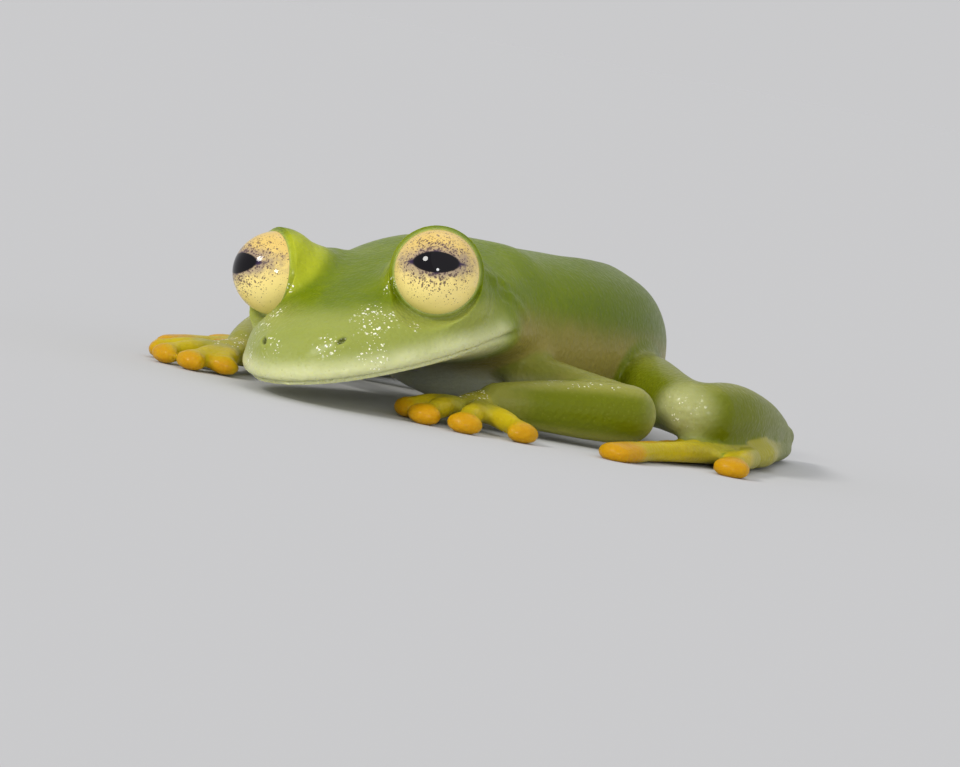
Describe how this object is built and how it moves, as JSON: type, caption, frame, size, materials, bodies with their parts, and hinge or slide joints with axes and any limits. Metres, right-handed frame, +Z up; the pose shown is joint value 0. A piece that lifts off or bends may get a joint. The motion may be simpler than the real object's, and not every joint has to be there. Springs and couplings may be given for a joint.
{
  "type": "glass frog model",
  "caption": "Life-size still model of a glass frog crouching with folded legs, raised golden eyes and one hand beside its chin.",
  "frame": {"origin": "centre of the frog's box, on the floor it rests on", "axes": "+Z up, -Y towards the snout, +X towards the frog's left"},
  "size_m": [0.0249, 0.0254, 0.0072],
  "materials": {
    "skin_green": "moist, translucent yellow-green skin",
    "skin_limb": "moist, more translucent olive skin",
    "skin_hand": "moist yellow to orange skin",
    "eye": "wet golden iris with a dark level pupil"
  },
  "bodies": {
    "root": {"head": "skin_green", "torso": "skin_green", "eye_left": "eye", "eye_right": "eye", "upper_arm_left": "skin_limb", "forearm_left": "skin_limb", "hand_left": "skin_hand", "upper_arm_right": "skin_limb", "forearm_right": "skin_limb", "hand_right": "skin_hand", "thigh_left": "skin_limb", "shank_left": "skin_limb", "tarsus_left": "skin_limb", "foot_left": "skin_hand", "thigh_right": "skin_limb", "shank_right": "skin_limb", "tarsus_right": "skin_limb", "foot_right": "skin_hand"}
  },
  "joints": []
}
